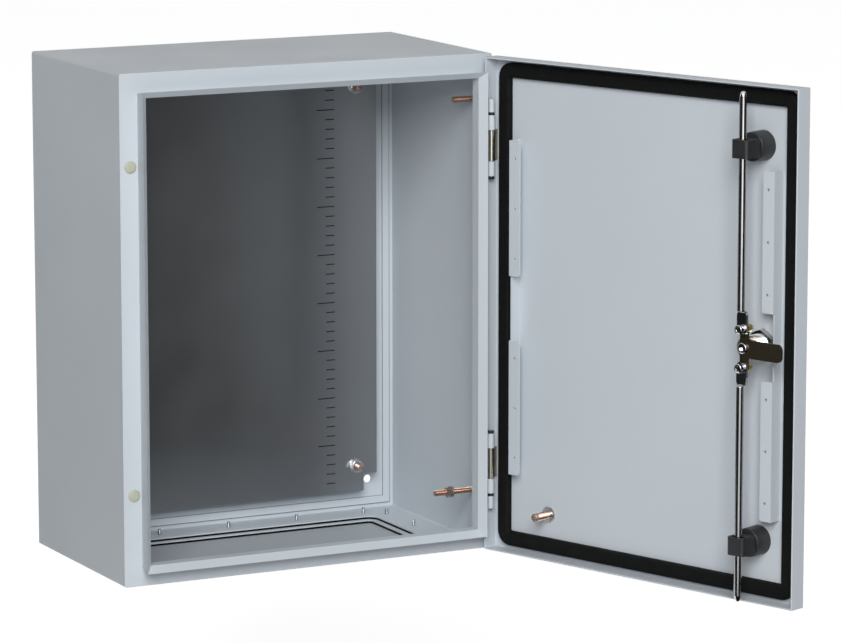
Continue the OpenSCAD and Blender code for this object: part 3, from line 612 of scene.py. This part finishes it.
hinge_x, hinge_y = 191.1, -236.3
for side in ("upper", "lower"):
    dress("hinge_bracket_" + side, powder_coat, 0.4)
    dress("hinge_pin_" + side, polished_steel, 0.2)
    dress("door_leaf_" + side, leaf_plating, 0.3)

hinge_socket = 3
flange_back = flange_face + 1.5
hinge_screw = turned(
    [(0, 1), (hinge_socket, 1), (hinge_socket, -2.6), (3.4, -3.2), (6.3, -3.2), (6.98, -2.5), (6.98, 0),
     (4.5, 0), (4.5, 1.5), (0, 1.5)], 40,
)
six_sided(hinge_screw, hinge_socket)
fit("hinge_screw_pair", "enclosure", "zinc_steel", bright_zinc, hinge_screw,
    [spot(flange_x, flange_back, z, to_front) for z in (-hinge_z, hinge_z)], "hinge_screws")

bracket_end, ring_height = 30.4, 2.9
ring = turned(
    eased([(2, 0), (3.3, 0), (3.3, 1.1), (2.9, 1.2), (2.9, 1.7), (3.3, 1.8), (3.3, ring_height),
           (2, ring_height)], 0.15, True), 32, True,
)
ring_spots = [
    spot(hinge_x, hinge_y, side * hinge_z + z)
    for side in (-1, 1)
    for z in (-bracket_end - ring_height, bracket_end)
]
fit("retaining_rings", "enclosure", "black_nylon", ring_black, ring, ring_spots, "hinge_rings")

cap_foot = hinge_z + bracket_end + ring_height
flipped = Matrix.Rotation(math.pi, 4, "X")
for side, z, turn in (("upper", cap_foot, Matrix()), ("lower", -cap_foot, flipped)):
    cap = turned(
        [(2, 0), (2.7, 0), (2.9, 0.3), (2.9, 11.6), (2.75, 12.4), (2.3, 12.9), (1.5, 13.1), (0, 13.1),
         (0, 9.8), (2, 9.8)], 32, True,
    )
    fit("pin_cap_" + side, "enclosure", "grey_powder_coat", powder_coat, cap,
        [spot(hinge_x, hinge_y, z, turn)], "hinge_cap_" + side)

# ---------------------------------------------------------------------------
# Door: a folded steel pan with welded corners, painted like the body, with two
# perforated strips spot-welded inside it for fixing things to.
# ---------------------------------------------------------------------------

dress("door_panel", powder_coat, 0.5)
dress("lock_strip", powder_coat, 0.4)
dress("hinge_strip", powder_coat, 0.4)

face_y = -250
door_turn = math.radians(110)
swing = (
    Matrix.Translation((hinge_x, hinge_y, 0)) @ Matrix.Rotation(door_turn, 4, "Z")
    @ Matrix.Translation((-hinge_x, -hinge_y, 0))
)


def on_door(x, z, depth, turn=Matrix()):
    """A point of the shut door, its depth in mm from the outer face, on the opened door."""
    inwards = Matrix.Rotation(math.radians(-90), 4, "X")
    return Matrix.Scale(0.001, 4) @ swing @ Matrix.Translation((x, face_y + depth, z)) @ inwards @ turn


# ---------------------------------------------------------------------------
# Door seal: one endless bead of soft black foam, poured into the pan, so its top
# edges are round. The body's rim closes against it.
# ---------------------------------------------------------------------------

foam = new_finish("foam", (0.0022, 0.0024, 0.0026), 0.0, 0.7)
set_sheen(foam, 0.2)
vary_gloss(foam, grain(foam, 80.0), 0.65, 0.85)
roughen(foam, [grain(foam, 500.0, 3.0), grain(foam, 1500.0)], 0.00005, 0.7)


def round_edges(bm, edges, radius, segments):
    """Rounds edges by a radius."""
    bmesh.ops.bevel(
        bm, geom=edges, offset=radius, offset_type="OFFSET", affect="EDGES", segments=segments, profile=0.5,
        material=-1, clamp_overlap=True,
    )


door_sheet = 1.5
bead_height, crown_radius = 6.2, 3.4
bead = with_hole(rounded_sheet(377, 486, 15, 10), rounded_sheet(347.5, 456, 1.5, 2))
raise_faces(bead, bead.faces[:], bead_height)
crown = [
    edge for edge in bead.edges
    if edge.calc_face_angle(0) > 1 and min(vert.co.z for vert in edge.verts) > bead_height - 0.2
]
round_edges(bead, crown, crown_radius, 5)
fit("foam_bead", "door", "black_foam", foam, bead, [on_door(0, 0, door_sheet)], "door_foam", 60)

# ---------------------------------------------------------------------------
# Door stud: a copper-plated earthing stud with a grooved lead, welded low on the
# door, with a zinc-plated washer at its foot.
# ---------------------------------------------------------------------------

door_stud = turned(
    [(0, 0), (4.0, 0), (4.0, 2.5)] + thread(4, 3, 19.4, 1.25)
    + [(3.5, 19.6), (3.5, 20.4), (4, 20.6), (4, 22.2), (3.4, 23), (0, 23)]
)
stud_foot = on_door(123.5, -204.5, door_sheet)
fit("door_earth_stud", "door", "copper_plate", copper_plate, door_stud, [stud_foot], "door_stud")
fit("door_earth_washer", "door", "zinc_steel", bright_zinc, washer(4, 8, washer_thick), [stud_foot],
    "door_stud_washer")

# ---------------------------------------------------------------------------
# Rod guides: black moulded nylon, a round, slightly tapered foot pressed onto a
# weld stud of the door, and a soft-cornered block with a slot for the rod.
# ---------------------------------------------------------------------------

black_nylon = new_finish("black_nylon", (0.022, 0.023, 0.024), 0.0, 0.42)
vary_gloss(black_nylon, grain(black_nylon, 90.0), 0.36, 0.5)
roughen(black_nylon, [grain(black_nylon, 1400.0)], 0.00003, 0.5)

lock_x, guide_z, rod_depth = -145.7, 189.5, 36
foot_x = lock_x + 2.5
block_low, block_high, block_width, block_long = 20.6, 42.0, 19.6, 17.6
block_middle = (block_low + block_high) / 2
upright = Matrix.Rotation(math.radians(90), 4, "X")

for side, z in (("upper", guide_z), ("lower", -guide_z)):
    foot = turned(
        [(2.5, 0), (14.5, 0), (14.5, 1), (14.1, 17.6), (13.8, 18.6), (13.1, 19.1), (2.5, 19.1)], 48, True,
    )
    fit("guide_foot_" + side, "door", "black_nylon", black_nylon, foot,
        [on_door(foot_x, z, door_sheet)], None)

    slot = rounded_sheet(16.4, 8.6, 4.29, 8)
    bmesh.ops.translate(slot, verts=slot.verts, vec=(0, rod_depth - block_middle, 0))
    block = with_hole(rounded_sheet(block_width, block_high - block_low, 3.6, 6), slot)
    raise_faces(block, block.faces[:], block_long)
    round_edges(block, [edge for edge in block.edges if edge.calc_face_angle(0) > 1], 1.5, 4)
    fit("guide_block_" + side, "door", "black_nylon", black_nylon, block,
        [on_door(lock_x, z - block_long / 2, block_middle, upright)], "guide_" + side)

guide_stud = turned([(0, 0), (2.5, 0)] + thread(2.5, 1, 9.4, 0.8) + [(2, 10), (0, 10)], 24)
fit("guide_stud_pair", "door", "copper_plate", copper_plate, guide_stud,
    [on_door(foot_x, z, door_sheet) for z in (-guide_z, guide_z)], "guide_studs")

# ---------------------------------------------------------------------------
# Lock body: a zinc barrel through the door on a rubber ring, threaded behind the
# door's sheet and drawn up by a large hexagonal nut, with a keyed core in it that
# ends in a square.
# ---------------------------------------------------------------------------

dress("bezel_seal", seal_rubber, 0.2)
dress("lock_core", bright_zinc, 0.2)

core_bore, barrel_radius = 6.05, 11
barrel = turned(
    [(core_bore, -3.8), (13.0, -3.8), (14.2, -3.5), (15, -2.8), (15, -0.3), (14.7, 0), (barrel_radius, 0),
     (barrel_radius, 8.5)]
    + thread(barrel_radius, 9, 29.4, 1.5) + [(10.4, 30.1), (core_bore, 30.1)], 48, True,
)
fit("lock_sleeve", "door", "zinc_steel", bright_zinc, barrel, [on_door(lock_x, 0, -1.6)], "lock_barrel")
tightened = Matrix.Rotation(math.radians(26), 4, "Z")
fit("lock_ring_nut", "door", "polished_steel", polished_steel, hex_nut(27, 7, barrel_radius),
    [on_door(lock_x, 0, door_sheet, tightened)], "lock_nut")

# ---------------------------------------------------------------------------
# Cam: a steel pressing in a dark brown finish on the core's square, with its tongue set off
# by a double bend, held by a socket screw. Two headed pins carry the rods and are
# closed behind the cam with yellow-plated domed nuts.
# ---------------------------------------------------------------------------

# The cam gets a dark brown, non-metallic finish.
dark_cam_finish = new_finish("dark_cam_finish", (0.026, 0.021, 0.012), 0.0, 0.25)
vary_colour(dark_cam_finish, grain(dark_cam_finish, 30.0, 2.0), (0.0245, 0.020, 0.0112), (0.0275, 0.022, 0.0128))
vary_gloss(dark_cam_finish, grain(dark_cam_finish, 60.0, 2.0), 0.2, 0.28)
yellow_plating = new_finish("yellow_plating", (0.80, 0.60, 0.24), 1.0, 0.36)
vary_colour(yellow_plating, grain(yellow_plating, 140.0, 3.0), (0.74, 0.52, 0.18), (0.86, 0.68, 0.32))
vary_gloss(yellow_plating, grain(yellow_plating, 200.0, 3.0), 0.3, 0.42)

dress("lock_cam", dark_cam_finish, 0.8, 3)

cam_socket = 2.6
cam_screw = turned(
    [(0, 1), (cam_socket, 1), (cam_socket, 3.2), (4.3, 3.2), (5.1, 2.8), (5.5, 2.0), (5.5, 0.2), (5.3, 0),
     (2.5, 0), (2.5, -7.4), (2, -8), (0, -8)], 40,
)
six_sided(cam_screw, cam_socket)
fit("cam_socket_screw", "lock_cam_body", "polished_steel", polished_steel, cam_screw,
    [on_door(lock_x, 0, 31.3)], "cam_screw")

pin_off, cam_back = 18.5, 28.8
pin_spots = [on_door(lock_x, side * pin_off, cam_back) for side in (-1, 1)]
headed_pin = turned(
    [(0, 0), (3, 0), (3, 6.1), (4.3, 6.1), (4.6, 6.4), (4.6, 10.4), (4.3, 11.2), (3.6, 11.6), (2.4, 11.7),
     (2.0, 11.2), (0, 11.2)], 40,
)
fit("headed_pins", "lock_cam_body", "polished_steel", polished_steel, headed_pin, pin_spots, "rod_pins")
domed_nut = turned(
    [(0, 0), (4.3, 0), (4.6, -0.3), (4.6, -4.3), (4.4, -4.7), (4.25, -5.6), (3.8, -6.9), (3.0, -8.1),
     (1.9, -8.8), (0.8, -9.0), (0, -9.05)], 36,
)
fit("domed_nuts", "lock_cam_body", "yellow_zinc", yellow_plating, domed_nut, pin_spots, "pin_cap_nuts")

# ---------------------------------------------------------------------------
# Rods: bright round steel bar, turned to a blunt point where it goes behind the
# body's rim, and at the lock end forged flat and pierced for the cam's pin.
# ---------------------------------------------------------------------------

rod_steel = new_finish("rod_steel", (0.50, 0.50, 0.50), 1.0, 0.16)
vary_colour(rod_steel, grain(rod_steel, 40.0, 3.0, (3, 3, 0.5)), (0.46, 0.46, 0.46), (0.55, 0.55, 0.55))
vary_gloss(rod_steel, grain(rod_steel, 200.0, 3.0, (2, 2, 0.1)), 0.1, 0.22)

rod_radius, rod_tip = 3.7, 243.5
flat_depth, flat_thick, flat_end = 31.6, 3.2, 36.0
squash_from, squash_over = 36.2, 2


def round_rod():
    """The round bar, upwards from the lock, its lower end squashed to meet the flat."""
    rings = [(rod_radius, height) for height in (31, 33, 34.2, 34.7, 35.2, 35.7, 36.3, 237.5)]
    point = [(3.4, 239.5), (2.8, 241.3), (2.1, 242.7), (1.4, rod_tip - 0.1), (0, rod_tip)]
    bar = turned([(0, 30.5), (3.4, 30.5)] + rings + point, 40)
    for vert in bar.verts:
        flat = min(max((squash_from - vert.co.z) / squash_over, 0), 1)
        flat = flat * flat * (3 - 2 * flat)
        vert.co.x *= 1 + 0.36 * flat
        vert.co.y *= 1 - 0.6 * flat
        vert.co.y += (flat_depth + flat_thick / 2 - rod_depth) * flat
    return bar


def pierced_flat():
    """The forged flat with the hole for the pin, in line with the bar."""
    overhang = 5.75
    flat = rounded_sheet(11.5, flat_end - pin_off + overhang, 4.6, 10)
    bmesh.ops.translate(flat, verts=flat.verts, vec=(0, (flat_end + pin_off - overhang) / 2, 0))
    pin_hole = bmesh.new()
    bmesh.ops.create_circle(
        pin_hole, cap_ends=False, radius=3.05, segments=28, matrix=Matrix.Translation((0, pin_off, 0))
    )
    with_hole(flat, pin_hole)
    raise_faces(flat, flat.faces[:], flat_thick)
    round_edges(flat, [edge for edge in flat.edges if edge.calc_face_angle(0) > 1], 0.5, 2)
    in_line = Matrix.Translation((0, flat_depth - rod_depth, 0)) @ upright @ Matrix.Diagonal((1, 1, -1, 1))
    bmesh.ops.transform(flat, verts=flat.verts, matrix=in_line)
    return flat


for side, way in (("upper", 1), ("lower", -1)):
    rod = round_rod()
    add_mesh(rod, pierced_flat())
    fit("lock_rod_" + side, side + "_rod_body", "polished_steel", rod_steel, rod,
        [on_door(lock_x, 0, rod_depth, upright @ Matrix.Diagonal((1, 1, way, 1)))], "rod_" + side)
